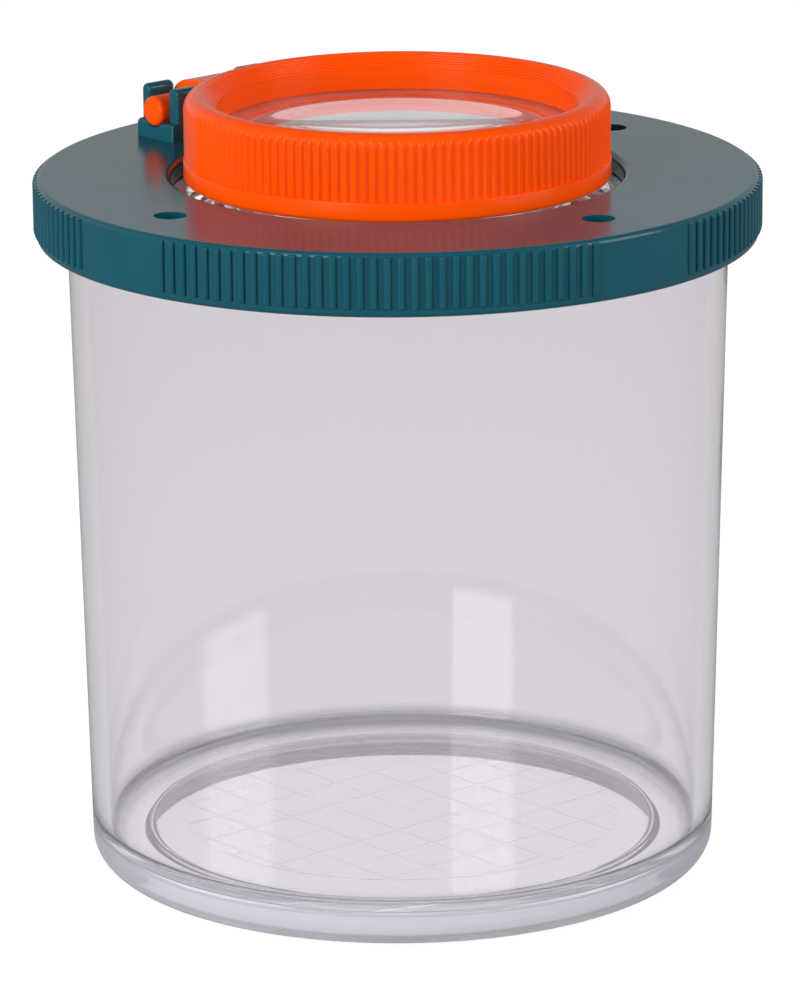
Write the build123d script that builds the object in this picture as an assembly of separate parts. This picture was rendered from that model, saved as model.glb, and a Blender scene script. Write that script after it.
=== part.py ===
from build123d import *
from math import degrees
import os

# Bug catcher jar: a clear jar, a screw lid with a fixed lens, and a second lens in a ring that flips up.
# Millimetres, +Z up. The origin is the middle of the foot, on the surface that the jar stands on.
# The hinge of the flip ring lies on the +Y side, along X.

# Jar
jar_height = 66.2
jar_rim_radius = 31.6
jar_base_radius = 30.3
jar_wall = 1.8
jar_floor_height = 4.2
jar_floor = 1.6
jar_foot_width = 5.3
jar_base_round = 2.6
jar_inside_round = 0.8
jar_edge_round = 0.4

# Measuring grid, sunk into the jar's floor
grid_pitch = 5.0
grid_radius = 21.7
grid_line_width = 0.35
grid_line_depth = 0.15

# Screw thread between jar and lid
thread_starts = 3
thread_lead = 9.0
thread_arc = 70.0
thread_depth = 0.8
thread_root_width = 1.1
thread_tip_width = 0.5
thread_gap = 0.35
thread_end_margin = 0.1
thread_buried = 0.3

# Lid
lid_height = 6.0
lid_plate = 1.7
lid_skirt_wall = 1.75
lid_seat_gap = 0.1
lid_edge_round = 0.5
lid_inner_round = 0.3

# Grip ribs on the lid's rim, in patches with plain gaps between them
rib_patches = 4
ribs_per_patch = 35
rib_pitch = 1.24
rib_width = 0.72
rib_height = 0.3
rib_low_band = 0.8
rib_top_drop = 0.3

# Air holes, in the plain gaps that the hinge leaves free
air_hole_diameter = 3.1
air_hole_inset = 6.5
air_hole_turns = (0, 180, 270)

# Lens fixed in the lid, held up against the lip of the opening by a snap-in ring
opening_round = 0.6
lid_lens_lip = 1.1
lid_lens_edge = 1.5
lid_lens_flat = 1.9
lid_lens_sag = 1.0
lid_lens_top_gap = 0.1
lid_lens_side_gap = 0.2
lid_retainer_width = 0.8
lid_retainer_height = 1.7
collar_wall = 1.7
snap_lip_reach = 0.6
snap_lip_height = 0.45
snap_gap = 0.15

# Flip ring
flip_ring_radius = 20.4
flip_ring_height = 8.2
flip_ring_sink = 0.5
flip_ring_gap = 1.2
flip_wall = 1.7
flip_skirt_wall = 1.8
flip_crest_round = 1.4
flip_low_round = 0.35
flip_inner_round = 0.2

# Grip grooves round the front of the flip ring
groove_pitch = 0.89
groove_arc = 220.0
groove_front = 270.0
groove_width = 0.5
groove_depth = 0.22
groove_low_band = 1.9
groove_top_band = 0.4

# Lens in the flip ring, on a seat, under a stepped ring
flip_seat_height = 3.4
flip_seat = 1.2
flip_seat_width = 3.7
flip_lens_edge = 1.4
flip_lens_sag = 0.9
flip_lens_side_gap = 0.15
flip_retainer_wall = 1.45
flip_retainer_side_gap = 0.05
flip_retainer_drop = 0.1
funnel_steps = 6
funnel_width = 1.25
funnel_depth = 1.25

# Hinge: pins on the ring's barrel lie in two open cradles on the lid
hinge_offset = 6.5
hinge_rise = 2.75
barrel_radius = 2.5
barrel_length = 7.7
pin_radius = 1.5
pin_round = 0.5
pin_overhang = 0.25
pin_clearance = 0.08
barrel_side_gap = 0.3
heel_gap = 0.15
heel_setback = 1.0
cradle_width = 3.9
cradle_inner_reach = 2.9
cradle_outer_reach = 2.7
cradle_height = 1.75
cradle_round = 0.5
lug_width = 3.2
lug_height = 5.1
lug_round = 0.5
outer_lug_round = 0.6
lug_outer_wall = 1.25
lug_throat = 2.8

# How many times its own measure a cutter is long, so that it passes right through
cutter_length = 4

# Heights that several pieces share
lid_underside = jar_height + lid_seat_gap
lid_top = lid_underside + lid_plate
lid_bottom = lid_top - lid_height
ring_bottom = lid_top - flip_ring_sink
ring_top = ring_bottom + flip_ring_height
hinge_z = lid_top + hinge_rise

# Radii that several pieces share
skirt_inner = jar_rim_radius + thread_depth + thread_gap
skirt_outer = skirt_inner + lid_skirt_wall
opening_radius = flip_ring_radius + flip_ring_gap
lid_lens_radius = opening_radius + lid_lens_lip
collar_inner = lid_lens_radius + lid_lens_side_gap
collar_outer = collar_inner + collar_wall
flip_bore = flip_ring_radius - flip_wall
hinge_y = flip_ring_radius + hinge_offset

# Thread: the lid's ridges run half a pitch below the jar's
thread_rise = thread_lead * thread_arc / 360
thread_pitch = thread_lead / thread_starts
thread_inset = thread_root_width / 2 + thread_end_margin
jar_thread_low = jar_height - jar_edge_round - thread_inset - thread_rise
lid_thread_low = lid_bottom + thread_inset
lid_thread_phase = (thread_pitch / 2 - jar_thread_low + lid_thread_low) * 360 / thread_lead


def turned(*corners):
    """Solid of revolution about Z. Each corner is a radius, a height and the rounding there."""
    points = [(radius, height) for radius, height, rounding in corners]
    roundings = [rounding for radius, height, rounding in corners]
    outline = FilletPolyline(*points, radius=roundings, close=True)
    return revolve(Plane.XZ * make_face(outline), Axis.Z)


def side_block(corners, start, length):
    """Prism along X, from start, of an outline in Y and Z. Each corner is Y, Z and the rounding there."""
    points = [(y, z) for y, z, rounding in corners]
    roundings = [rounding for y, z, rounding in corners]
    outline = FilletPolyline(*points, radius=roundings, close=True)
    return Pos(start, 0, 0) * extrude(Plane.YZ * make_face(outline), length)


def hinge_rod(radius, length):
    """Cylinder along the hinge axis, centred on it."""
    return Pos(0, hinge_y, hinge_z) * Rot(0, 90, 0) * Cylinder(radius, length)


def thread_ridges(root_radius, tip_radius, low, phase):
    """Every start of one thread: a trapezoid swept up its helix, its root sunk into the wall."""
    outward = 1 if tip_radius > root_radius else -1
    sunk_radius = root_radius - outward * thread_buried
    outline = Polyline(
        (sunk_radius, -thread_root_width / 2),
        (tip_radius, -thread_tip_width / 2),
        (tip_radius, thread_tip_width / 2),
        (sunk_radius, thread_root_width / 2),
        close=True,
    )
    helix = Helix(pitch=thread_lead, height=thread_rise, radius=root_radius)
    ridge = sweep(Plane.XZ * make_face(outline), path=helix, is_frenet=True)
    turns = [phase + start * 360 / thread_starts for start in range(thread_starts)]
    return [Pos(0, 0, low) * Rot(0, 0, turn) * ridge for turn in turns]


def lens(radius, flat, low, edge, sag):
    """Biconvex lens with a flat flange of the given width, from height low at the flange's underside."""
    bulge = radius - flat
    high = low + edge
    curve_radius = (bulge**2 + sag**2) / (2 * sag)
    upper = RadiusArc((bulge, high), (0, high + sag), -curve_radius)
    axis = Line((0, high + sag), (0, low - sag))
    lower = RadiusArc((0, low - sag), (bulge, low), -curve_radius)
    rim = Polyline((bulge, low), (radius, low), (radius, high), (bulge, high))
    return revolve(Plane.XZ * make_face(Curve() + [upper, axis, lower, rim]), Axis.Z)


def measuring_grid():
    """Cutter for the square grid and its border circle in the jar's floor."""
    count = int(grid_radius / grid_pitch)
    disc = Circle(grid_radius)
    lines = Sketch()
    for step in range(-count, count + 1):
        place = step * grid_pitch
        lines += Pos(place, 0) * Rectangle(grid_line_width, 2 * grid_radius)
        lines += Pos(0, place) * Rectangle(2 * grid_radius, grid_line_width)
    border = disc - Circle(grid_radius - grid_line_width)
    drawing = (lines & disc) + border
    return Pos(0, 0, jar_floor_height - grid_line_depth) * extrude(drawing, 2 * grid_line_depth)


def make_jar():
    """Tapered clear jar with a foot ring, a plain neck and an outside thread."""
    taper = (jar_rim_radius - jar_base_radius) / lid_bottom
    inner_base = jar_base_radius + taper * jar_floor_height - jar_wall
    foot_inner = jar_base_radius - jar_foot_width
    underside = jar_floor_height - jar_floor
    shell = turned(
        (0, underside, 0),
        (foot_inner, underside, jar_inside_round),
        (foot_inner, 0, jar_edge_round),
        (jar_base_radius, 0, jar_base_round),
        (jar_rim_radius, lid_bottom, 0),
        (jar_rim_radius, jar_height, jar_edge_round),
        (jar_rim_radius - jar_wall, jar_height, jar_edge_round),
        (jar_rim_radius - jar_wall, lid_bottom, 0),
        (inner_base, jar_floor_height, jar_inside_round),
        (0, jar_floor_height, 0),
    )
    thread = thread_ridges(jar_rim_radius, jar_rim_radius + thread_depth, jar_thread_low, 0)
    return shell + thread - measuring_grid()


def grip_ribs():
    """Upright ribs round the lid's rim, patch by patch."""
    low = lid_bottom + rib_low_band
    height = lid_top - rib_top_drop - low
    tip_radius = skirt_outer + rib_height
    rib = Pos(tip_radius - rib_height, 0) * Rectangle(rib_height, rib_width)
    rib += Pos(tip_radius - rib_width / 2, 0) * Circle(rib_width / 2)
    post = Pos(0, 0, low) * extrude(rib, height)
    pitch_angle = degrees(rib_pitch / skirt_outer)
    posts = []
    for patch in range(rib_patches):
        middle = (patch + 0.5) * 360 / rib_patches
        for step in range(ribs_per_patch):
            posts.append(Rot(0, 0, middle + (step - (ribs_per_patch - 1) / 2) * pitch_angle) * post)
    return posts


def hinge_cradle(side):
    """Open cradle for one hinge pin: a base block with two lugs. side is 1 or -1 along X."""
    start = barrel_length / 2 + barrel_side_gap
    root = lid_top - lid_plate / 2
    base_top = lid_top + cradle_height
    lug_top = lid_top + lug_height
    inner = hinge_y - cradle_inner_reach
    outer = hinge_y + cradle_outer_reach
    throat_inner = hinge_y - lug_throat / 2
    throat_outer = hinge_y + lug_throat / 2
    base = [(inner, root, 0), (inner, base_top, 0), (outer, base_top, cradle_round), (outer, root, 0)]
    inner_lug = [
        (inner, root, 0),
        (inner, lug_top, lug_round),
        (throat_inner, lug_top, lug_round),
        (throat_inner, root, 0),
    ]
    outer_lug = [
        (throat_outer, root, 0),
        (throat_outer, lug_top, outer_lug_round),
        (throat_outer + lug_outer_wall, lug_top, outer_lug_round),
        (throat_outer + lug_outer_wall, root, 0),
    ]
    cradle = side_block(base, start, cradle_width)
    cradle += side_block(inner_lug, start, lug_width)
    cradle += side_block(outer_lug, start, lug_width)
    cradle -= hinge_rod(pin_radius + pin_clearance, cutter_length * barrel_length)
    return cradle if side > 0 else mirror(cradle, Plane.YZ)


def air_holes():
    """Cutters for the air holes, between the lens collar and the jar's wall."""
    circle = skirt_outer - air_hole_inset
    hole = Pos(circle, 0, lid_top) * Cylinder(air_hole_diameter / 2, cutter_length * lid_plate)
    return [Rot(0, 0, turn) * hole for turn in air_hole_turns]


def make_lid():
    """Screw lid: plate with a lens opening, threaded skirt, lens collar, grip ribs, air holes and cradles."""
    retainer_low = lid_underside - lid_lens_top_gap - lid_lens_edge - lid_retainer_height
    snap_top = retainer_low - snap_gap
    collar_low = snap_top - snap_lip_height
    shell = turned(
        (opening_radius, lid_underside, 0),
        (opening_radius, lid_top, opening_round),
        (skirt_outer, lid_top, lid_edge_round),
        (skirt_outer, lid_bottom, lid_edge_round),
        (skirt_inner, lid_bottom, lid_inner_round),
        (skirt_inner, lid_underside, lid_inner_round),
        (collar_outer, lid_underside, lid_inner_round),
        (collar_outer, collar_low, 0),
        (collar_inner - snap_lip_reach, collar_low, 0),
        (collar_inner - snap_lip_reach, snap_top, 0),
        (collar_inner, snap_top, 0),
        (collar_inner, lid_underside, 0),
    )
    shell += thread_ridges(skirt_inner, skirt_inner - thread_depth, lid_thread_low, lid_thread_phase)
    shell += [hinge_cradle(1), hinge_cradle(-1)]
    shell -= air_holes()
    return shell + grip_ribs()


def make_lid_lens():
    """Fixed lens under the lid's opening."""
    low = lid_underside - lid_lens_top_gap - lid_lens_edge
    return lens(lid_lens_radius, lid_lens_flat, low, lid_lens_edge, lid_lens_sag)


def make_lid_lens_retainer():
    """Ring that carries the fixed lens, above the snap lip of the lid's collar."""
    high = lid_underside - lid_lens_top_gap - lid_lens_edge
    low = high - lid_retainer_height
    inner = lid_lens_radius - lid_retainer_width
    return turned(
        (inner, low, 0),
        (lid_lens_radius, low, 0),
        (lid_lens_radius, high, 0),
        (inner, high, 0),
    )


def grip_grooves():
    """Cutters for the upright grooves round the front of the flip ring."""
    low = ring_bottom + groove_low_band
    height = flip_ring_height - groove_low_band - groove_top_band
    depth_radius = flip_ring_radius - groove_depth + groove_width / 2
    slot = Pos(depth_radius, 0) * Circle(groove_width / 2)
    slot += Pos(depth_radius + groove_width / 2, 0) * Rectangle(groove_width, groove_width)
    cutter = Pos(0, 0, low) * extrude(slot, height)
    pitch_angle = degrees(groove_pitch / flip_ring_radius)
    count = int(groove_arc / pitch_angle)
    return [Rot(0, 0, groove_front + (step - (count - 1) / 2) * pitch_angle) * cutter for step in range(count)]


def make_flip_ring():
    """Ring with a lens seat, grip grooves, and a hinge barrel with a pin at each end."""
    seat_top = ring_bottom + flip_seat_height
    seat_low = seat_top - flip_seat
    aperture = flip_bore - flip_seat_width
    skirt = flip_ring_radius - flip_skirt_wall
    ring = turned(
        (skirt, ring_bottom, flip_inner_round),
        (flip_ring_radius, ring_bottom, flip_low_round),
        (flip_ring_radius, ring_top, flip_crest_round),
        (flip_bore, ring_top, flip_inner_round),
        (flip_bore, seat_top, 0),
        (aperture, seat_top, 0),
        (aperture, seat_low, 0),
        (skirt, seat_low, 0),
    )
    ring -= grip_grooves()
    web_root = flip_ring_radius - flip_wall / 2
    web = [
        (flip_bore, lid_top + heel_gap, 0),
        (hinge_y - heel_setback, lid_top + heel_gap, lug_round),
        (hinge_y - heel_setback, hinge_z, 0),
        (hinge_y, hinge_z, 0),
        (hinge_y, hinge_z + barrel_radius, 0),
        (flip_bore, ring_top - flip_crest_round, 0),
    ]
    web_block = side_block(web, -barrel_length / 2, barrel_length)
    web_block -= Pos(0, 0, ring_top) * Cylinder(web_root, cutter_length * flip_ring_height)
    pin_length = barrel_length + 2 * (barrel_side_gap + cradle_width + pin_overhang)
    pins = hinge_rod(pin_radius, pin_length)
    pins = fillet(pins.edges().filter_by(GeomType.CIRCLE), pin_round)
    return ring + web_block + hinge_rod(barrel_radius, barrel_length) + pins


def make_flip_lens():
    """Lens in the flip ring."""
    low = ring_bottom + flip_seat_height
    return lens(flip_bore - flip_lens_side_gap, flip_seat_width, low, flip_lens_edge, flip_lens_sag)


def make_flip_lens_retainer():
    """Stepped ring that holds the flip lens down on its seat."""
    outer = flip_bore - flip_retainer_side_gap
    inner = outer - flip_retainer_wall
    low = ring_bottom + flip_seat_height + flip_lens_edge
    high = ring_top - flip_retainer_drop
    steps = []
    for step in range(funnel_steps):
        radius = outer - funnel_width * (step + 1) / funnel_steps
        steps.append((radius, high - funnel_depth * step / funnel_steps, 0))
        steps.append((radius, high - funnel_depth * (step + 1) / funnel_steps, 0))
    return turned(
        (inner, low, 0),
        (outer, low, 0),
        (outer, high, 0),
        *steps,
        (inner, high - funnel_depth, 0),
    )


pieces = {
    "jar": make_jar(),
    "screw_lid": make_lid(),
    "lid_lens": make_lid_lens(),
    "lid_lens_retainer": make_lid_lens_retainer(),
    "flip_ring": make_flip_ring(),
    "flip_lens": make_flip_lens(),
    "flip_lens_retainer": make_flip_lens_retainer(),
}

os.makedirs("parts", exist_ok=True)
for node, piece in pieces.items():
    export_step(piece, f"parts/{node}.step")
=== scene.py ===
"""Dressed scene of the bug catcher jar: clear jar, screw lid with a fixed lens, ring with a flip-up lens.

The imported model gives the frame, in metres, with +Z up and the hinge on the +Y side. The sizes of the
pieces are millimetres, and a piece is turned into metres when it is finished. The studio and the finishes
are in metres.
"""

from __future__ import annotations

import logging
import math
from dataclasses import dataclass, field
from enum import Enum
from typing import NamedTuple, Sequence

import bmesh
import bpy
from bmesh.types import BMesh
from mathutils import Matrix, Vector


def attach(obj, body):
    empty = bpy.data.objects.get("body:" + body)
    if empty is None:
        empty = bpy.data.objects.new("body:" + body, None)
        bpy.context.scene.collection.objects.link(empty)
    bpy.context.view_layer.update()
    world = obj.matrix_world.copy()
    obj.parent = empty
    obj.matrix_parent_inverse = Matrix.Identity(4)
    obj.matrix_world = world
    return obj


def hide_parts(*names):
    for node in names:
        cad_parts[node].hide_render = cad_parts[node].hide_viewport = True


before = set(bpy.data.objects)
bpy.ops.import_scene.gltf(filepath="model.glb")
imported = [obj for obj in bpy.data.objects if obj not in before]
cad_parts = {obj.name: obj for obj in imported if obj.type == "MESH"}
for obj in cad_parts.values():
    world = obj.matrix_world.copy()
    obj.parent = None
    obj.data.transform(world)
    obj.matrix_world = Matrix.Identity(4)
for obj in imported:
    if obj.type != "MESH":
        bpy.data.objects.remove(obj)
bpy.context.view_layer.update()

MM = 0.001
FULL_TURN = 360.0
SHARP_ANGLE = math.radians(50)

# Millimetres: points this near are one, a plane this near takes a point, and a lens keeps this much air.
MERGE = 0.002
PLANE_REACH = MERGE / 10
AIR_GAP = 0.03
LENS_RIM_ROUND = 0.15

# A face is an end if its normal has this much of X. A cutter is this many times as long as what it cuts.
END_FACING = 0.99
CUTTER_LENGTH = 4

# The shape of roundings, and the facets in roundings, bulges and full turns.
ROUND_PROFILE = 0.5
FEWEST_STEPS = 4
MOST_STEPS = 16
STEPS_AT_NO_RADIUS = 3
STEPS_PER_MM = 8
SOFT_EDGE_STEPS = 3
LENS_STEPS = 24
ROUND_SEGMENTS = 160
FINE_SEGMENTS = 192
ROD_SEGMENTS = 64
HOLE_SEGMENTS = 48

UP = (0.0, 0.0, 1.0)
CENTRE = (0.0, 0.0, 0.0)

log = logging.getLogger("bug_catcher_jar")

Colour = tuple[float, float, float]


class Corner(NamedTuple):
    """A corner of an outline, in millimetres, with the rounding that it gets."""

    across: float
    up: float
    rounding: float = 0.0


class Lie(Enum):
    """The plane that an outline lies in."""

    FRONT = "across is X"
    SIDE = "across is Y"

    def place(self, corner: Corner) -> Vector:
        """Gives the corner's point in space."""
        if self is Lie.FRONT:
            return Vector((corner.across, 0.0, corner.up))
        return Vector((0.0, corner.across, corner.up))


class Combine(Enum):
    """What a tool shape does to a base shape."""

    JOIN = "UNION"
    CUT = "DIFFERENCE"


class Body(Enum):
    """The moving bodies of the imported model."""

    JAR = "jar_body"
    LENS_CARRIER = "lens_carrier"
    LID = "lid_body"
    FLIP = "flip_body"


class Slot(Enum):
    """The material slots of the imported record."""

    CLEAR = "clear"
    LENS = "lens"
    TEAL = "teal"
    ORANGE = "orange"


def rounding_steps(rounding: float) -> int:
    """Gives the number of facets in a rounding of that radius."""
    steps = round(STEPS_AT_NO_RADIUS + STEPS_PER_MM * rounding)
    return max(FEWEST_STEPS, min(MOST_STEPS, steps))


def outlined(corners: Sequence[Corner], lie: Lie = Lie.FRONT, closed: bool = True) -> BMesh:
    """Draws an outline as a wire and rounds its corners.

    Args:
        corners: the corners in order.
        lie: the plane that the outline lies in.
        closed: whether the last corner joins the first.

    Returns:
        A bmesh that holds only the wire.
    """
    bm = bmesh.new()
    verts = [bm.verts.new(lie.place(corner)) for corner in corners]
    for first, second in zip(verts, verts[1:] + verts[:1] if closed else verts[1:]):
        bm.edges.new((first, second))
    for vert, corner in zip(verts, corners):
        if corner.rounding == 0:
            continue
        one, other = (edge.other_vert(vert).co - vert.co for edge in vert.link_edges)
        reach = corner.rounding / math.tan(one.angle(other) / 2)
        bmesh.ops.bevel(
            bm,
            geom=[vert],
            offset=reach,
            offset_type="OFFSET",
            affect="VERTICES",
            segments=rounding_steps(corner.rounding),
            profile=ROUND_PROFILE,
            material=-1,
        )
    return bm


def spun(bm: BMesh, segments: int, axis: Sequence[float] = UP, centre: Sequence[float] = CENTRE) -> BMesh:
    """Turns a wire right round an axis and closes the shape.

    Args:
        bm: the wire.
        segments: facets in a full turn.
        axis: the direction of the axis.
        centre: a point on the axis.

    Returns:
        The same bmesh, with its faces pointing outwards.
    """
    wire = bm.verts[:] + bm.edges[:]
    bmesh.ops.spin(bm, geom=wire, cent=centre, axis=axis, angle=math.tau, steps=segments, use_merge=True)
    bmesh.ops.remove_doubles(bm, verts=bm.verts, dist=MERGE)
    bmesh.ops.recalc_face_normals(bm, faces=bm.faces)
    return bm


def copied_round(bm: BMesh, count: int, pitch: float) -> BMesh:
    """Repeats a whole shape round the upright axis.

    Args:
        bm: the shape.
        count: how many there are in the end.
        pitch: degrees from one to the next.

    Returns:
        The same bmesh with all the copies.
    """
    shape = bm.verts[:] + bm.edges[:] + bm.faces[:]
    sweep = math.radians(pitch * (count - 1))
    bmesh.ops.spin(bm, geom=shape, cent=CENTRE, axis=UP, angle=sweep, steps=count - 1, use_duplicate=True)
    return bm


def rotated(bm: BMesh, degrees: float) -> BMesh:
    """Turns a shape about the upright axis."""
    bmesh.ops.rotate(bm, verts=bm.verts, cent=CENTRE, matrix=Matrix.Rotation(math.radians(degrees), 3, "Z"))
    return bm


def prism(corners: Sequence[Corner], start: float, length: float, edge_round: float) -> BMesh:
    """Draws an outline of Y and Z out along X, with soft edges round both ends.

    Args:
        corners: the outline.
        start: X of the first end.
        length: the distance to the other end.
        edge_round: the radius of the soft edges.

    Returns:
        A closed bmesh.
    """
    bm = outlined(corners, Lie.SIDE)
    bmesh.ops.translate(bm, vec=(start, 0.0, 0.0), verts=bm.verts)
    bmesh.ops.contextual_create(bm, geom=bm.edges[:])
    drawn = bmesh.ops.extrude_face_region(bm, geom=bm.faces[:])
    far = [item for item in drawn["geom"] if isinstance(item, bmesh.types.BMVert)]
    bmesh.ops.translate(bm, vec=(length, 0.0, 0.0), verts=far)
    bmesh.ops.recalc_face_normals(bm, faces=bm.faces)
    ends = [face for face in bm.faces if abs(face.normal.x) > END_FACING]
    rims = {edge for face in ends for edge in face.edges}
    bmesh.ops.bevel(
        bm,
        geom=list(rims),
        offset=edge_round,
        affect="EDGES",
        segments=SOFT_EDGE_STEPS,
        profile=ROUND_PROFILE,
        material=-1,
        clamp_overlap=True,
    )
    return bm


def absorbed(bm: BMesh, *others: BMesh) -> BMesh:
    """Adds other shapes to one, and frees them."""
    for other in others:
        carrier = bpy.data.meshes.new("carrier")
        other.to_mesh(carrier)
        other.free()
        bm.from_mesh(carrier)
        bpy.data.meshes.remove(carrier)
    return bm


def combined(base: BMesh, tool: BMesh, how: Combine) -> BMesh:
    """Joins a tool shape to a base shape or cuts it out, as one closed surface.

    Args:
        base: the shape that is worked on; it is freed.
        tool: the shape that is joined or cut out; it is freed.
        how: join or cut.

    Returns:
        A new bmesh.
    """
    holders = []
    for bm in (base, tool):
        mesh = bpy.data.meshes.new("holder")
        bm.to_mesh(mesh)
        bm.free()
        holder = bpy.data.objects.new("holder", mesh)
        bpy.context.scene.collection.objects.link(holder)
        holders.append(holder)
    step = holders[0].modifiers.new("combine", "BOOLEAN")
    step.operation = how.value
    step.solver = "EXACT"
    step.object = holders[1]
    result = bmesh.new()
    result.from_object(holders[0], bpy.context.evaluated_depsgraph_get())
    for holder in holders:
        mesh = holder.data
        bpy.data.objects.remove(holder)
        bpy.data.meshes.remove(mesh)
    return result


def lens_form(radius: float, bulge: float, low: float, edge: float, sag: float) -> BMesh:
    """Builds a lens that bulges on both sides inside a flat flange.

    Args:
        radius: the outside of the flange.
        bulge: the radius where the flange ends and the bulge starts.
        low: the height of the flange's underside.
        edge: the thickness of the flange.
        sag: how far each side bulges.

    Returns:
        A closed bmesh.
    """
    high = low + edge
    curve = (bulge**2 + sag**2) / (2 * sag)
    sweep = math.asin(bulge / curve)
    low, high = low + AIR_GAP, high - AIR_GAP
    corners = [
        Corner(bulge, high),
        Corner(radius, high, LENS_RIM_ROUND),
        Corner(radius, low, LENS_RIM_ROUND),
        Corner(bulge, low),
    ]
    bm = outlined(corners, closed=False)
    ends = [vert for vert in bm.verts if len(vert.link_edges) == 1]
    for end in ends:
        over = 1 if end.co.z > low + edge / 2 else -1
        middle = (0.0, 0.0, end.co.z + over * (sag - curve))
        bmesh.ops.spin(
            bm,
            geom=[end],
            cent=middle,
            axis=(0.0, 1.0, 0.0),
            angle=-over * sweep,
            steps=LENS_STEPS,
        )
    return spun(bm, ROUND_SEGMENTS)


def finished(
    bm: BMesh,
    name: str,
    material: bpy.types.Material,
    body: Body,
) -> bpy.types.Object:
    """Makes a shape a piece in metres that rides on its body and stands for the CAD node of the same name.

    Args:
        bm: the shape in millimetres; it is freed.
        name: the node that the piece replaces.
        material: the finish.
        body: the body that it rides on.

    Returns:
        The piece.
    """
    bmesh.ops.scale(bm, vec=(MM, MM, MM), verts=bm.verts)
    open_edges = sum(not edge.is_manifold for edge in bm.edges)
    mesh = bpy.data.meshes.new(name)
    bm.to_mesh(mesh)
    bm.free()
    mesh.materials.append(material)
    mesh.shade_smooth()
    mesh.set_sharp_from_angle(angle=SHARP_ANGLE)
    piece = bpy.data.objects.new(f"{name}_dressed", mesh)
    bpy.context.scene.collection.objects.link(piece)
    even = piece.modifiers.new("even shading", "WEIGHTED_NORMAL")
    even.keep_sharp = True
    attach(piece, body.value)
    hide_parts(name)
    log.info("%s: %d faces, %d open edges", piece.name, len(mesh.polygons), open_edges)
    return piece


class Signal:
    """A shader value. Expressions on it add Math nodes."""

    def __init__(self, shader: Shader, socket: bpy.types.NodeSocket) -> None:
        """Keeps the socket and the shader that it belongs to."""
        self.shader = shader
        self.socket = socket

    def _math(self, operation: str, first: Signal | float, second: Signal | float) -> Signal:
        """Adds one Math node."""
        return self.shader.add("ShaderNodeMath", {"operation": operation}, {0: first, 1: second})

    def __add__(self, other: Signal | float) -> Signal:
        """Sum."""
        return self._math("ADD", self, other)

    __radd__ = __add__

    def __sub__(self, other: Signal | float) -> Signal:
        """Difference."""
        return self._math("SUBTRACT", self, other)

    def __rsub__(self, other: Signal | float) -> Signal:
        """Difference with the value second."""
        return self._math("SUBTRACT", other, self)

    def __mul__(self, other: Signal | float) -> Signal:
        """Product."""
        return self._math("MULTIPLY", self, other)

    __rmul__ = __mul__


class Shader:
    """The node tree of a material or of the world."""

    def __init__(self, tree: bpy.types.NodeTree) -> None:
        """Empties the tree."""
        self.tree = tree
        tree.nodes.clear()

    def add(
        self,
        kind: str,
        settings: dict[str, object] | None = None,
        sockets: dict[str | int, object] | None = None,
        output: str | int = 0,
    ) -> Signal:
        """Adds any node.

        Args:
            kind: the node's type.
            settings: properties of the node, set first; "stops" are a ramp's places and colours.
            sockets: values or signals for its inputs.
            output: the output that is wanted.

        Returns:
            That output as a signal.
        """
        node = self.tree.nodes.new(kind)
        for name, value in (settings or {}).items():
            if name == "stops":
                self._set_stops(node.color_ramp, value)
            else:
                setattr(node, name, value)
        for name, value in (sockets or {}).items():
            if isinstance(value, Signal):
                self.tree.links.new(value.socket, node.inputs[name])
            else:
                node.inputs[name].default_value = value
        return Signal(self, node.outputs[output] if len(node.outputs) else None)

    @staticmethod
    def _set_stops(ramp: bpy.types.ColorRamp, stops: Sequence[tuple[float, Colour]]) -> None:
        """Gives a ramp its stops."""
        while len(ramp.elements) < len(stops):
            ramp.elements.new(1.0)
        for element, (place, colour) in zip(ramp.elements, stops):
            element.position = place
            element.color = (*colour, 1.0)

    def place(self) -> Signal:
        """Gives the object's own coordinates."""
        return self.add("ShaderNodeTexCoord", output="Object")

    def mixed(self, share: Signal | float, first: object, second: object) -> Signal:
        """Mixes two colours, where a share of 1 is the second."""
        return self.add("ShaderNodeMix", {"data_type": "RGBA"}, {0: share, 6: first, 7: second}, 2)

    def ranged(self, value: Signal, start: float, end: float) -> Signal:
        """Runs from 0 at the start to 1 at the end, and stays there."""
        return self.add("ShaderNodeMapRange", {}, {"Value": value, "From Min": start, "From Max": end})

    def bumped(self, height: Signal, distance: float) -> Signal:
        """Gives the normal of a surface that rises by the distance, in metres, where the height is 1."""
        return self.add("ShaderNodeBump", {}, {"Strength": 1.0, "Distance": distance, "Height": height})

    def noise(self, scale: float, detail: float = 2.0, roughness: float = 0.5) -> Signal:
        """Gives a soft noise from 0 to 1, with scale in features per metre."""
        sockets = {"Vector": self.place(), "Scale": scale, "Detail": detail, "Roughness": roughness}
        return self.add("ShaderNodeTexNoise", sockets=sockets)


def new_material(name: str) -> tuple[bpy.types.Material, Shader]:
    """Makes an empty material and the shader that fills it."""
    material = bpy.data.materials.new(name)
    material.use_nodes = True
    return material, Shader(material.node_tree)


@dataclass(frozen=True)
class Milk:
    """The milky part of a clear moulding. It sets in from one radius and height to another."""

    tone: Colour
    share: float
    radii: tuple[float, float]
    heights: tuple[float, float]
    roughness: float = 0.3

    def amount(self, shader: Shader) -> Signal:
        """Gives the share of milkiness at each place."""
        place = shader.place()
        flatten = {0: place, 1: (1.0, 1.0, 0.0)}
        level = shader.add("ShaderNodeVectorMath", {"operation": "MULTIPLY"}, flatten)
        radius = shader.add("ShaderNodeVectorMath", {"operation": "LENGTH"}, {0: level}, "Value")
        height = shader.add("ShaderNodeSeparateXYZ", {}, {"Vector": place}, "Z")
        outward = shader.ranged(radius, *self.radii)
        upward = shader.ranged(height, *self.heights)
        return outward * upward * self.share


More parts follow.
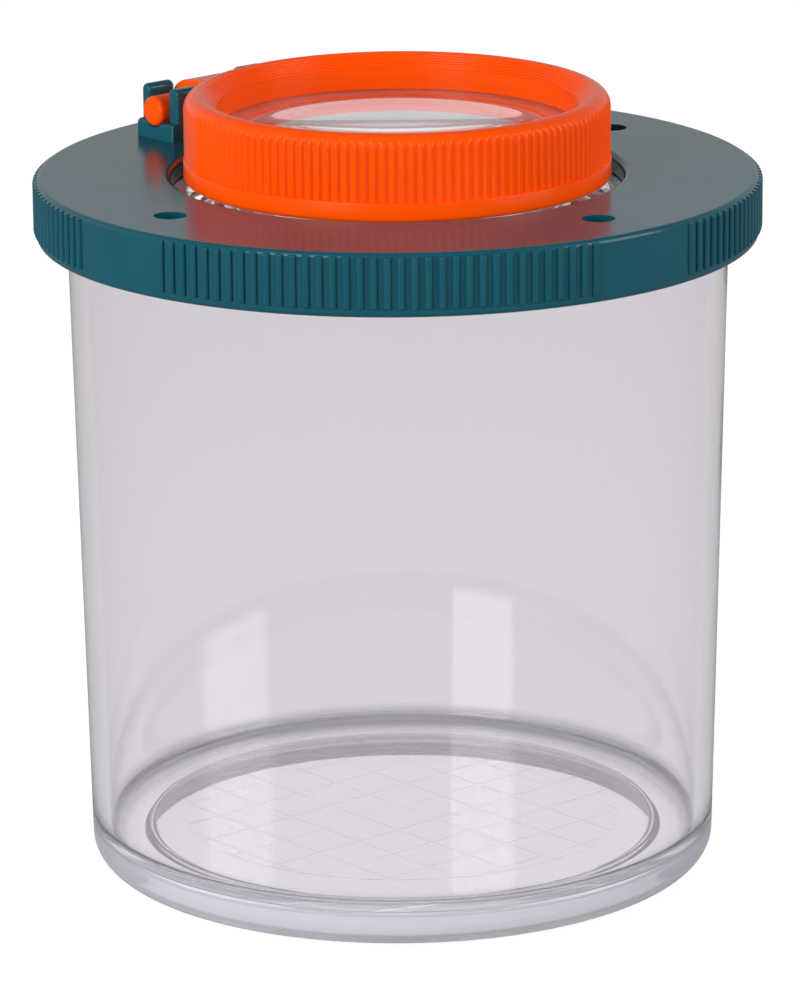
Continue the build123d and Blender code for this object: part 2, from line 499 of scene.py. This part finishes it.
@dataclass(frozen=True)
class ClearPlastic:
    """Polished clear plastic with a faint tint, slightly uneven as mouldings are and milky in one part."""

    name: str
    tint: Colour
    refraction: float
    milk: Milk
    haze_low: float = 0.0
    haze_high: float = 0.03
    wave_scale: float = 55.0
    wave_height: float = 0.00004

    def material(self) -> bpy.types.Material:
        """Builds the material."""
        material, shader = new_material(self.name)
        flow = shader.noise(self.wave_scale, detail=1.0)
        haze = self.haze_low + flow * (self.haze_high - self.haze_low)
        clear_sockets = {
            "Base Color": (*self.tint, 1.0),
            "Roughness": haze,
            "IOR": self.refraction,
            "Transmission Weight": 1.0,
            "Normal": shader.bumped(flow, self.wave_height),
        }
        clear = shader.add("ShaderNodeBsdfPrincipled", {}, clear_sockets)
        milky_sockets = {"Base Color": (*self.milk.tone, 1.0), "Roughness": self.milk.roughness}
        milky = shader.add("ShaderNodeBsdfPrincipled", {}, milky_sockets)
        surface = shader.add("ShaderNodeMixShader", {}, {0: self.milk.amount(shader), 1: clear, 2: milky})
        shader.add("ShaderNodeOutputMaterial", {}, {"Surface": surface})
        return material


@dataclass(frozen=True)
class MouldedPlastic:
    """Coloured moulded plastic: faint flow marks in the colour, uneven gloss and a very fine grain."""

    name: str
    colour: Colour
    flow_colour: Colour
    gloss_low: float
    gloss_high: float
    specular: float
    refraction: float = 1.5
    flow_scale: float = 90.0
    flow_span: tuple[float, float] = (0.35, 0.7)
    scuff_scale: float = 540.0
    grain_scale: float = 2600.0
    grain_height: float = 0.000004

    def material(self) -> bpy.types.Material:
        """Builds the material."""
        material, shader = new_material(self.name)
        flow = shader.noise(self.flow_scale, detail=3.0)
        stops = list(zip(self.flow_span, (self.colour, self.flow_colour)))
        tone = shader.add("ShaderNodeValToRGB", {"stops": stops}, {"Fac": flow})
        scuff = shader.noise(self.scuff_scale, detail=4.0, roughness=0.6)
        gloss = self.gloss_low + scuff * (self.gloss_high - self.gloss_low)
        grain = shader.noise(self.grain_scale)
        sockets = {
            "Base Color": tone,
            "Roughness": gloss,
            "IOR": self.refraction,
            "Specular IOR Level": self.specular,
            "Normal": shader.bumped(grain, self.grain_height),
        }
        surface = shader.add("ShaderNodeBsdfPrincipled", {}, sockets)
        shader.add("ShaderNodeOutputMaterial", {}, {"Surface": surface})
        return material


@dataclass(frozen=True)
class Thread:
    """Screw thread of three short starts, shared by the jar and the lid."""

    starts: int = 3
    lead: float = 9.0
    arc: float = 70.0
    depth: float = 0.8
    root_width: float = 1.1
    tip_width: float = 0.5
    buried: float = 0.3
    steps: int = 28

    def ridges(self, root: float, outward: int, low: float, phase: float) -> BMesh:
        """Builds all the starts.

        Args:
            root: the radius of the wall.
            outward: 1 for ridges outside the wall, -1 for ridges inside it.
            low: the height of the lower end's middle.
            phase: degrees where the first start begins.

        Returns:
            Closed ridges, sunk a little into the wall.
        """
        sunk = root - outward * self.buried
        tip = root + outward * self.depth
        corners = [
            Corner(sunk, low - self.root_width / 2),
            Corner(tip, low - self.tip_width / 2),
            Corner(tip, low + self.tip_width / 2),
            Corner(sunk, low + self.root_width / 2),
        ]
        bm = outlined(corners)
        bmesh.ops.contextual_create(bm, geom=bm.edges[:])
        rise = self.lead * self.arc / FULL_TURN / self.steps
        bmesh.ops.spin(
            bm,
            geom=bm.verts[:] + bm.edges[:] + bm.faces[:],
            cent=CENTRE,
            axis=UP,
            dvec=(0.0, 0.0, rise),
            angle=math.radians(self.arc),
            steps=self.steps,
        )
        bmesh.ops.recalc_face_normals(bm, faces=bm.faces)
        rotated(bm, phase)
        return copied_round(bm, self.starts, FULL_TURN / self.starts)


@dataclass
class ClearJar:
    """The clear jar with its foot ring, measuring grid and outside thread."""

    finish: ClearPlastic
    thread: Thread
    height: float = 66.2
    rim_radius: float = 31.6
    base_radius: float = 30.3
    neck_low: float = 62.0
    wall: float = 1.8
    floor_high: float = 4.2
    floor_low: float = 2.6
    foot_inner: float = 25.0
    base_round: float = 2.6
    inside_round: float = 0.8
    edge_round: float = 0.4
    grid_pitch: float = 5.0
    grid_radius: float = 21.7
    grid_line: float = 0.3
    grid_depth: float = 0.02
    thread_low: float = 63.4
    segments: int = 216

    def shell(self) -> BMesh:
        """Builds the jar's wall, foot and floor, with the floor's middle filled by one face."""
        taper = (self.rim_radius - self.base_radius) / self.neck_low
        inner_base = self.base_radius + taper * self.floor_high - self.wall
        inner_rim = self.rim_radius - self.wall
        corners = [
            Corner(0.0, self.floor_low),
            Corner(self.foot_inner, self.floor_low, self.inside_round),
            Corner(self.foot_inner, 0.0, self.edge_round),
            Corner(self.base_radius, 0.0, self.base_round),
            Corner(self.rim_radius, self.neck_low),
            Corner(self.rim_radius, self.height, self.edge_round),
            Corner(inner_rim, self.height, self.edge_round),
            Corner(inner_rim, self.neck_low),
            Corner(inner_base, self.floor_high, self.inside_round),
            Corner(self.grid_radius, self.floor_high),
            Corner(self.grid_radius - self.grid_line, self.floor_high),
        ]
        bm = spun(outlined(corners, closed=False), self.segments)
        rim = [edge for edge in bm.edges if edge.is_boundary]
        bmesh.ops.edgeloop_fill(bm, edges=rim)
        bmesh.ops.recalc_face_normals(bm, faces=bm.faces)
        return bm

    def on_floor(self, face: bmesh.types.BMFace, radius: float) -> bool:
        """Tells whether a face lies in the floor's upper side within a radius."""
        middle = face.calc_center_median()
        return abs(middle.z - self.floor_high) < MERGE and middle.xy.length < radius

    def is_line(self, face: bmesh.types.BMFace) -> bool:
        """Tells whether a face of the floor lies on a line of the grid or on its border."""
        middle = face.calc_center_median()
        if middle.xy.length > self.grid_radius - self.grid_line:
            return True
        offsets = (abs(place - self.grid_pitch * round(place / self.grid_pitch)) for place in middle.xy)
        return min(offsets) < self.grid_line / 2

    def engrave_grid(self, bm: BMesh) -> None:
        """Divides the floor along the grid's lines and sinks the lines.

        Args:
            bm: the shell.
        """
        field_radius = self.grid_radius - self.grid_line
        count = int(self.grid_radius / self.grid_pitch)
        places = [step * self.grid_pitch for step in range(-count, count + 1)]
        for normal in (Vector((1, 0, 0)), Vector((0, 1, 0))):
            for place in places:
                for side in (-self.grid_line / 2, self.grid_line / 2):
                    faces = [face for face in bm.faces if self.on_floor(face, field_radius)]
                    edges = {edge for face in faces for edge in face.edges}
                    verts = {vert for face in faces for vert in face.verts}
                    bmesh.ops.bisect_plane(
                        bm,
                        geom=faces + list(edges) + list(verts),
                        dist=PLANE_REACH,
                        plane_co=normal * (place + side),
                        plane_no=normal,
                    )
        floor = [face for face in bm.faces if self.on_floor(face, self.grid_radius)]
        lines = [face for face in floor if self.is_line(face)]
        sunk = bmesh.ops.extrude_face_region(bm, geom=lines)
        bottom = [item for item in sunk["geom"] if isinstance(item, bmesh.types.BMVert)]
        bmesh.ops.translate(bm, vec=(0.0, 0.0, -self.grid_depth), verts=bottom)
        covers = [face for face in lines if face.is_valid]
        bmesh.ops.delete(bm, geom=covers, context="FACES_ONLY")

    def build(self) -> None:
        """Builds and dresses the jar."""
        bm = self.shell()
        self.engrave_grid(bm)
        ridges = self.thread.ridges(self.rim_radius, 1, self.thread_low, 0.0)
        bm = combined(bm, ridges, Combine.JOIN)
        finished(bm, "jar", self.finish.material(), Body.JAR)


@dataclass(frozen=True)
class Hinge:
    """The hinge axis along X, shared by the lid's cradles and the flip ring."""

    across: float = 26.9
    up: float = 70.75
    barrel_half: float = 3.85
    barrel_radius: float = 2.5
    pin_radius: float = 1.5
    pin_end: float = 8.3
    pin_round: float = 0.5
    bore_radius: float = 1.58

    @property
    def centre(self) -> tuple[float, float, float]:
        """The axis's middle point."""
        return (0.0, self.across, self.up)


@dataclass
class ScrewLid:
    """The teal lid: plate, threaded skirt, lens collar, grip ribs, air holes and hinge cradles."""

    finish: MouldedPlastic
    thread: Thread
    hinge: Hinge
    top: float = 68.0
    underside: float = 66.3
    bottom: float = 62.0
    skirt_inner: float = 32.75
    skirt_outer: float = 34.5
    edge_round: float = 0.5
    inner_round: float = 0.3
    opening: float = 21.6
    opening_round: float = 0.6
    collar_inner: float = 22.9
    collar_outer: float = 24.6
    collar_low: float = 62.4
    snap_inner: float = 22.3
    snap_top: float = 62.85
    thread_low: float = 62.65
    thread_phase: float = 30.0
    rib_patches: int = 4
    ribs_per_patch: int = 35
    rib_pitch: float = 2.0593
    rib_width: float = 0.72
    rib_tip: float = 34.8
    rib_low: float = 62.8
    rib_high: float = 67.7
    rib_round: float = 0.29
    hole_radius: float = 1.55
    hole_circle: float = 28.0
    hole_turns: tuple[float, ...] = (0.0, 180.0, 270.0)
    cradle_start: float = 4.15
    cradle_width: float = 3.9
    cradle_inner: float = 24.0
    cradle_outer: float = 29.6
    cradle_top: float = 69.75
    cradle_round: float = 0.5
    lug_width: float = 3.2
    lug_top: float = 73.1
    lug_inner_end: float = 25.5
    lug_outer_start: float = 28.3
    lug_outer_end: float = 29.55
    lug_round: float = 0.5
    lug_outer_round: float = 0.6
    soft_edge: float = 0.35
    segments: int = 240

    def shell(self) -> BMesh:
        """Builds the plate, the skirt and the lens collar in one turning."""
        corners = [
            Corner(self.opening, self.underside),
            Corner(self.opening, self.top, self.opening_round),
            Corner(self.skirt_outer, self.top, self.edge_round),
            Corner(self.skirt_outer, self.bottom, self.edge_round),
            Corner(self.skirt_inner, self.bottom, self.inner_round),
            Corner(self.skirt_inner, self.underside, self.inner_round),
            Corner(self.collar_outer, self.underside, self.inner_round),
            Corner(self.collar_outer, self.collar_low),
            Corner(self.snap_inner, self.collar_low),
            Corner(self.snap_inner, self.snap_top),
            Corner(self.collar_inner, self.snap_top),
            Corner(self.collar_inner, self.underside),
        ]
        return spun(outlined(corners), self.segments)

    def ribs(self) -> BMesh:
        """Builds the grip ribs, each a block with its outer side rounded."""
        root = (self.skirt_inner + self.skirt_outer) / 2
        size = Vector((self.rib_tip - root, self.rib_width, self.rib_high - self.rib_low))
        middle = Vector(((self.rib_tip + root) / 2, 0.0, (self.rib_high + self.rib_low) / 2))
        bm = bmesh.new()
        bmesh.ops.create_cube(bm, size=1.0, matrix=Matrix.LocRotScale(middle, None, size))
        outer = [edge for edge in bm.edges if all(vert.co.x > middle.x for vert in edge.verts)]
        bmesh.ops.bevel(
            bm,
            geom=outer,
            offset=self.rib_round,
            affect="EDGES",
            segments=SOFT_EDGE_STEPS,
            profile=ROUND_PROFILE,
            material=-1,
        )
        patch_turn = FULL_TURN / self.rib_patches
        rotated(bm, (patch_turn - self.rib_pitch * (self.ribs_per_patch - 1)) / 2)
        copied_round(bm, self.ribs_per_patch, self.rib_pitch)
        return copied_round(bm, self.rib_patches, patch_turn)

    def holes(self) -> BMesh:
        """Builds the cutters for the air holes."""
        bm = bmesh.new()
        for turn in self.hole_turns:
            out = Matrix.Translation((self.hole_circle, 0.0, self.top))
            place = Matrix.Rotation(math.radians(turn), 4, "Z") @ out
            bmesh.ops.create_cone(
                bm,
                cap_ends=True,
                segments=HOLE_SEGMENTS,
                radius1=self.hole_radius,
                radius2=self.hole_radius,
                depth=CUTTER_LENGTH * (self.top - self.underside),
                matrix=place,
            )
        return bm

    def cradle(self) -> BMesh:
        """Builds the cradle on the +X side: a low block, two lugs, and the bore that the pin lies in."""
        root = (self.top + self.underside) / 2
        base = [
            Corner(self.cradle_inner, root),
            Corner(self.cradle_inner, self.cradle_top),
            Corner(self.cradle_outer, self.cradle_top, self.cradle_round),
            Corner(self.cradle_outer, root),
        ]
        inner_lug = [
            Corner(self.cradle_inner, root),
            Corner(self.cradle_inner, self.lug_top, self.lug_round),
            Corner(self.lug_inner_end, self.lug_top, self.lug_round),
            Corner(self.lug_inner_end, root),
        ]
        outer_lug = [
            Corner(self.lug_outer_start, root),
            Corner(self.lug_outer_start, self.lug_top, self.lug_outer_round),
            Corner(self.lug_outer_end, self.lug_top, self.lug_outer_round),
            Corner(self.lug_outer_end, root),
        ]
        lugs = absorbed(
            prism(inner_lug, self.cradle_start, self.lug_width, self.soft_edge),
            prism(outer_lug, self.cradle_start, self.lug_width, self.soft_edge),
        )
        block = prism(base, self.cradle_start, self.cradle_width, self.soft_edge)
        block = combined(block, lugs, Combine.JOIN)
        bore = bmesh.new()
        lie = Matrix.Translation(self.hinge.centre) @ Matrix.Rotation(math.pi / 2, 4, "Y")
        bmesh.ops.create_cone(
            bore,
            cap_ends=True,
            segments=ROD_SEGMENTS,
            radius1=self.hinge.bore_radius,
            radius2=self.hinge.bore_radius,
            depth=CUTTER_LENGTH * self.hinge.pin_end,
            matrix=lie,
        )
        return combined(block, bore, Combine.CUT)

    def cradles(self) -> BMesh:
        """Builds both cradles."""
        bm = self.cradle()
        other = bm.copy()
        bmesh.ops.scale(other, vec=(-1.0, 1.0, 1.0), verts=other.verts)
        bmesh.ops.reverse_faces(other, faces=other.faces)
        return absorbed(bm, other)

    def build(self) -> None:
        """Builds and dresses the lid."""
        bm = self.shell()
        ridges = self.thread.ridges(self.skirt_inner, -1, self.thread_low, self.thread_phase)
        bm = combined(bm, absorbed(ridges, self.cradles(), self.ribs()), Combine.JOIN)
        bm = combined(bm, self.holes(), Combine.CUT)
        finished(bm, "screw_lid", self.finish.material(), Body.LID)


@dataclass
class LidLens:
    """The lens fixed under the lid's opening and the ring that holds it up."""

    lens_finish: ClearPlastic
    ring_finish: MouldedPlastic
    radius: float = 22.7
    bulge: float = 20.8
    low: float = 64.7
    edge: float = 1.5
    sag: float = 1.0
    ring_inner: float = 21.9
    ring_low: float = 63.0
    ring_round: float = 0.2

    def build(self) -> None:
        """Builds and dresses the lens and its ring."""
        lens = lens_form(self.radius, self.bulge, self.low, self.edge, self.sag)
        finished(lens, "lid_lens", self.lens_finish.material(), Body.LENS_CARRIER)
        corners = [
            Corner(self.ring_inner, self.ring_low, self.ring_round),
            Corner(self.radius, self.ring_low, self.ring_round),
            Corner(self.radius, self.low, self.ring_round),
            Corner(self.ring_inner, self.low, self.ring_round),
        ]
        ring = spun(outlined(corners), ROUND_SEGMENTS)
        finished(ring, "lid_lens_retainer", self.ring_finish.material(), Body.LENS_CARRIER)


@dataclass
class FlipMagnifier:
    """The orange ring with its hinge barrel and pins, its lens and the stepped ring above the lens."""

    ring_finish: MouldedPlastic
    lens_finish: ClearPlastic
    hinge: Hinge
    radius: float = 20.4
    low: float = 67.5
    high: float = 75.7
    bore: float = 18.7
    seat_low: float = 69.7
    seat_high: float = 70.9
    aperture: float = 15.0
    skirt_inner: float = 18.6
    crest_round: float = 1.4
    low_round: float = 0.35
    inner_round: float = 0.2
    wall: float = 20.33
    ledge_round: float = 0.05
    flute_low: float = 69.4
    flute_pitch: float = 2.5
    flute_count: int = 88
    flute_depth: float = 0.26
    rib_sharpness: float = 1.5
    facets_per_flute: int = 8
    front: float = 270.0
    web_low: float = 68.15
    web_end: float = 25.9
    web_round: float = 0.5
    web_top: float = 74.3
    web_sink: float = 0.02
    soft_edge: float = 0.25
    lens_radius: float = 18.55
    lens_bulge: float = 14.85
    lens_edge: float = 1.4
    lens_sag: float = 0.9
    step_outer: float = 18.65
    step_lip: float = 0.15
    step_inner: float = 17.2
    step_high: float = 75.6
    step_count: int = 6
    step_reach: float = 1.25
    step_softness: float = 0.35

    def ring(self) -> BMesh:
        """Builds the ring with its lens seat and its grip flutes."""
        corners = [
            Corner(self.skirt_inner, self.low, self.inner_round),
            Corner(self.radius, self.low, self.low_round),
            Corner(self.radius, self.flute_low, self.ledge_round),
            Corner(self.wall, self.flute_low),
            Corner(self.wall, self.high, self.crest_round),
            Corner(self.bore, self.high, self.inner_round),
            Corner(self.bore, self.seat_high),
            Corner(self.aperture, self.seat_high),
            Corner(self.aperture, self.seat_low),
            Corner(self.skirt_inner, self.seat_low),
        ]
        bm = spun(outlined(corners), round(self.facets_per_flute * FULL_TURN / self.flute_pitch))
        self.sink_flutes(bm)
        return bm

    def sink_flutes(self, bm: BMesh) -> None:
        """Sinks shallow flutes round the front of the wall, from the ledge up into the rounded crest.

        Args:
            bm: the ring.
        """
        half_arc = self.flute_pitch * self.flute_count / 2
        for vert in bm.verts:
            reach = vert.co.xy.length
            on_wall = self.wall - self.flute_depth < reach < self.wall + MERGE
            if vert.co.z < self.flute_low - MERGE or not on_wall:
                continue
            turn = math.degrees(math.atan2(vert.co.y, vert.co.x)) - self.front
            turn = (turn + FULL_TURN / 2) % FULL_TURN - FULL_TURN / 2
            if abs(turn) > half_arc:
                continue
            rib = (0.5 + 0.5 * math.cos(math.tau * turn / self.flute_pitch)) ** self.rib_sharpness
            vert.co.xy *= min(1.0, (self.wall - self.flute_depth * (1.0 - rib)) / reach)

    def axle(self) -> BMesh:
        """Builds the hinge barrel with a pin at each end."""
        hinge = self.hinge
        half = [
            Corner(hinge.barrel_half, hinge.barrel_radius, self.soft_edge),
            Corner(hinge.barrel_half, hinge.pin_radius),
            Corner(hinge.pin_end, hinge.pin_radius, hinge.pin_round),
            Corner(hinge.pin_end, 0.0),
        ]
        other = [Corner(-corner.across, corner.up, corner.rounding) for corner in reversed(half)]
        bm = outlined(other + half, closed=False)
        bmesh.ops.translate(bm, vec=hinge.centre, verts=bm.verts)
        return spun(bm, ROD_SEGMENTS, (1.0, 0.0, 0.0), hinge.centre)

    def web(self) -> BMesh:
        """Builds the web between the ring and the barrel."""
        hinge = self.hinge
        start = (self.radius + self.bore) / 2
        corners = [
            Corner(start, self.web_low),
            Corner(self.web_end, self.web_low, self.web_round),
            Corner(self.web_end, hinge.up),
            Corner(hinge.across, hinge.up),
            Corner(hinge.across, hinge.up + hinge.barrel_radius - self.web_sink),
            Corner(start, self.web_top),
        ]
        return prism(corners, -hinge.barrel_half, 2 * hinge.barrel_half, self.soft_edge)

    def stepped_ring(self) -> BMesh:
        """Builds the ring above the lens, which goes down to it in fine steps."""
        low = self.seat_high + self.lens_edge
        run = self.step_reach / self.step_count
        corners = [
            Corner(self.step_inner, low),
            Corner(self.step_outer, low),
            Corner(self.step_outer, self.step_high - run),
            Corner(self.step_outer + self.step_lip, self.step_high - run),
            Corner(self.step_outer + self.step_lip, self.step_high),
        ]
        for step in range(self.step_count):
            place = self.step_outer - run * (step + 1)
            corners.append(Corner(place, self.step_high - run * step, run * self.step_softness))
            corners.append(Corner(place, self.step_high - run * (step + 1), run * self.step_softness))
        corners.append(Corner(self.step_inner, self.step_high - self.step_reach))
        return spun(outlined(corners), FINE_SEGMENTS)

    def build(self) -> None:
        """Builds and dresses the ring, the lens and the stepped ring."""
        orange = self.ring_finish.material()
        ring = combined(self.ring(), self.web(), Combine.JOIN)
        ring = combined(ring, self.axle(), Combine.JOIN)
        finished(ring, "flip_ring", orange, Body.FLIP)
        lens = lens_form(self.lens_radius, self.lens_bulge, self.seat_high, self.lens_edge, self.lens_sag)
        finished(lens, "flip_lens", self.lens_finish.material(), Body.FLIP)
        finished(self.stepped_ring(), "flip_lens_retainer", orange, Body.FLIP)


@dataclass(frozen=True)
class Softbox:
    """A large soft lamp that faces the object. If it is mirrored, it shows in reflections."""

    name: str
    azimuth: float
    width: float
    power: float
    height: float = 0.7
    elevation: float = 18.0
    distance: float = 1.1
    mirrored: bool = True

    def build(self, target: Vector) -> None:
        """Adds the lamp.

        Args:
            target: the point that it faces.
        """
        turn, rise = math.radians(self.azimuth), math.radians(self.elevation)
        back = Vector((math.sin(turn) * math.cos(rise), -math.cos(turn) * math.cos(rise), math.sin(rise)))
        data = bpy.data.lights.new(self.name, "AREA")
        data.shape = "RECTANGLE"
        data.size = self.width
        data.size_y = self.height
        data.energy = self.power
        lamp = bpy.data.objects.new(self.name, data)
        lamp.location = target + back * self.distance
        lamp.rotation_euler = back.to_track_quat("Z", "Y").to_euler()
        lamp.visible_glossy = self.mirrored
        lamp.visible_transmission = self.mirrored
        bpy.context.scene.collection.objects.link(lamp)


@dataclass
class Studio:
    """Pale floor, soft light and the camera at the photograph's angle.

    The through tones are what shows through clear plastic: the floor near the jar, further off and far
    away, and the room overhead.
    """

    camera_place: tuple[float, float, float] = (-0.3633, -0.4136, 0.1909)
    target: tuple[float, float, float] = (0.0, 0.0, 0.0358)
    roll: float = -0.45
    lens: float = 214.7
    clip_end: float = 50.0
    floor_half: float = 6.0
    floor_drop: float = 0.0002
    floor_tone: float = 0.3
    floor_glow: float = 0.88
    glossy_glow: float = 0.05
    # Painted light: a glow on the floor under the jar, seen only in reflections, that lifts the jar's
    # shadow there.
    painted_glow_radii: tuple[float, float] = (0.034, 0.029)
    painted_glow_under_jar: float = 0.25
    through_near: Colour = (0.86, 0.845, 0.87)
    through_middle: Colour = (0.72, 0.69, 0.705)
    through_far: Colour = (0.45, 0.44, 0.45)
    through_overhead: Colour = (1.6, 1.6, 1.6)
    through_share: float = 0.9
    through_reaches: tuple[float, float, float] = (0.1, 0.5, 1.5)
    through_limit: float = 2.0
    overhead_span: tuple[float, float] = (0.05, 0.6)
    bright_side: tuple[float, float, float] = (0.36, 0.93, 0.0)
    side_span: tuple[float, float] = (0.2, 0.8)
    zenith_span: tuple[float, float] = (0.3, 0.75)
    front_light: float = 0.12
    back_light: float = 0.57
    zenith_light: float = 0.2
    light_bounces: int = 24
    mirror_bounces: int = 16
    softboxes: list[Softbox] = field(
        default_factory=lambda: [
            Softbox("softbox_left", azimuth=-74.8, width=0.49, power=4.5),
            Softbox("softbox_right", azimuth=31.2, width=0.62, power=4.5),
            Softbox("fill_left", -95.0, 0.6, power=7.5, height=0.6, elevation=15.0, mirrored=False),
            Softbox("fill_right", 15.0, 0.6, power=4.0, height=0.6, elevation=15.0, mirrored=False),
        ]
    )

    def camera(self) -> None:
        """Adds the camera."""
        data = bpy.data.cameras.new("camera")
        data.lens = self.lens
        data.clip_end = self.clip_end
        camera = bpy.data.objects.new("camera", data)
        camera.location = self.camera_place
        gaze = Vector(self.target) - Vector(self.camera_place)
        turn = gaze.to_track_quat("-Z", "Y").to_matrix() @ Matrix.Rotation(math.radians(self.roll), 3, "Z")
        camera.rotation_euler = turn.to_euler()
        bpy.context.scene.collection.objects.link(camera)
        bpy.context.scene.camera = camera

    def floor(self) -> None:
        """Adds the pale floor, which glows to the camera, keeps the shadow and shows through the jar. Under
        the jar it also glows to reflected rays: painted light that lifts the jar's shadow where the foot
        mirrors the floor.
        """
        material, shader = new_material("pale_floor")
        paper = shader.add("ShaderNodeBsdfDiffuse", {}, {"Color": (self.floor_tone,) * 3 + (1.0,)})
        straight = shader.add("ShaderNodeLightPath", output="Is Camera Ray")
        mirrored = shader.add("ShaderNodeLightPath", output="Is Glossy Ray")
        away = shader.add("ShaderNodeVectorMath", {"operation": "LENGTH"}, {0: shader.place()}, "Value")
        # Painted light: under the jar the floor glows to reflected rays, lifting the jar's shadow that the
        # foot mirrors.
        under = shader.ranged(away, *self.painted_glow_radii) * self.painted_glow_under_jar
        strength = straight * self.floor_glow + mirrored * (under + self.glossy_glow)
        glow = shader.add("ShaderNodeEmission", {}, {"Strength": strength})
        lit = shader.add("ShaderNodeAddShader", {}, {0: paper, 1: glow})
        tones = (self.through_near, self.through_middle, self.through_far)
        stops = [(reach / self.through_limit, tone) for reach, tone in zip(self.through_reaches, tones)]
        reached = away * (1.0 / self.through_limit)
        tone = shader.add("ShaderNodeValToRGB", {"stops": stops}, {"Fac": reached})
        pale = shader.add("ShaderNodeEmission", {}, {"Color": tone})
        through = shader.add("ShaderNodeLightPath", output="Is Transmission Ray")
        surface = shader.add("ShaderNodeMixShader", {}, {0: through * self.through_share, 1: lit, 2: pale})
        shader.add("ShaderNodeOutputMaterial", {}, {"Surface": surface})
        bm = bmesh.new()
        place = Matrix.Translation((0.0, 0.0, -self.floor_drop))
        bmesh.ops.create_grid(bm, x_segments=1, y_segments=1, size=self.floor_half, matrix=place)
        mesh = bpy.data.meshes.new("floor")
        bm.to_mesh(mesh)
        bm.free()
        mesh.materials.append(material)
        floor = bpy.data.objects.new("floor", mesh)
        bpy.context.scene.collection.objects.link(floor)

    def world(self) -> None:
        """Lights the room: bright low down behind, dim in front and overhead, white to the camera."""
        world = bpy.data.worlds.new("studio")
        bpy.context.scene.world = world
        world.use_nodes = True
        shader = Shader(world.node_tree)
        direction = shader.add("ShaderNodeTexCoord", output="Generated")
        sockets = {0: direction, 1: self.bright_side}
        side = shader.add("ShaderNodeVectorMath", {"operation": "DOT_PRODUCT"}, sockets, "Value")
        stops = list(zip(self.side_span, ((self.front_light,) * 3, (self.back_light,) * 3)))
        round_tone = shader.add("ShaderNodeValToRGB", {"stops": stops}, {"Fac": side * 0.5 + 0.5})
        height = shader.add("ShaderNodeSeparateXYZ", {}, {"Vector": direction}, "Z")
        rise = shader.ranged(height, *self.zenith_span)
        zenith_tone = (self.zenith_light,) * 3 + (1.0,)
        tone = shader.mixed(rise, round_tone, zenith_tone)
        light = shader.add("ShaderNodeBackground", {}, {"Color": tone})
        white = shader.add("ShaderNodeBackground", {}, {"Color": (1.0, 1.0, 1.0, 1.0)})
        stops = list(zip(self.overhead_span, (self.through_far, self.through_overhead)))
        pale_tone = shader.add("ShaderNodeValToRGB", {"stops": stops}, {"Fac": height})
        pale = shader.add("ShaderNodeBackground", {}, {"Color": pale_tone})
        through = shader.add("ShaderNodeLightPath", output="Is Transmission Ray")
        soft = shader.add("ShaderNodeMixShader", {}, {0: through * self.through_share, 1: light, 2: pale})
        straight = shader.add("ShaderNodeLightPath", output="Is Camera Ray")
        surface = shader.add("ShaderNodeMixShader", {}, {0: straight, 1: soft, 2: white})
        shader.add("ShaderNodeOutputWorld", {}, {"Surface": surface})

    def build(self) -> None:
        """Builds the studio."""
        self.camera()
        self.floor()
        self.world()
        for softbox in self.softboxes:
            softbox.build(Vector(self.target))
        bpy.context.scene.view_settings.view_transform = "Standard"
        cycles = bpy.context.scene.cycles
        cycles.max_bounces = self.light_bounces
        cycles.transmission_bounces = self.light_bounces
        cycles.glossy_bounces = self.mirror_bounces


def main() -> None:
    """Builds the studio and every piece, in order."""
    logging.basicConfig(level=logging.INFO, format="%(message)s")
    foot_milk = Milk(
        tone=(0.6, 0.59, 0.66),
        share=0.72,
        radii=(0.027, 0.029),
        heights=(0.0055, 0.0035),
    )
    flange_milk = Milk(
        tone=(0.9, 0.9, 0.9),
        share=0.1,
        radii=(0.0148, 0.0151),
        heights=(0.069, 0.0695),
    )
    clear = ClearPlastic(
        name="clear_jar_plastic",
        tint=(0.93, 0.915, 0.935),
        refraction=1.57,
        milk=foot_milk,
    )
    lens = ClearPlastic(
        name="lens_plastic",
        tint=(0.96, 0.955, 0.96),
        refraction=1.49,
        milk=flange_milk,
        haze_high=0.01,
        wave_scale=30.0,
        wave_height=0.00001,
    )
    teal = MouldedPlastic(
        name="teal_plastic",
        colour=(0.003, 0.078, 0.110),
        flow_colour=(0.004, 0.086, 0.120),
        gloss_low=0.15,
        gloss_high=0.24,
        specular=0.4,
    )
    orange = MouldedPlastic(
        name="orange_plastic",
        colour=(1.0, 0.080, 0.0),
        flow_colour=(1.0, 0.086, 0.001),
        gloss_low=0.18,
        gloss_high=0.26,
        specular=0.18,
    )
    thread = Thread()
    hinge = Hinge()
    Studio().build()
    ClearJar(clear, thread).build()
    ScrewLid(teal, thread, hinge).build()
    LidLens(lens, teal).build()
    FlipMagnifier(orange, lens, hinge).build()


if __name__ == "__main__":
    main()
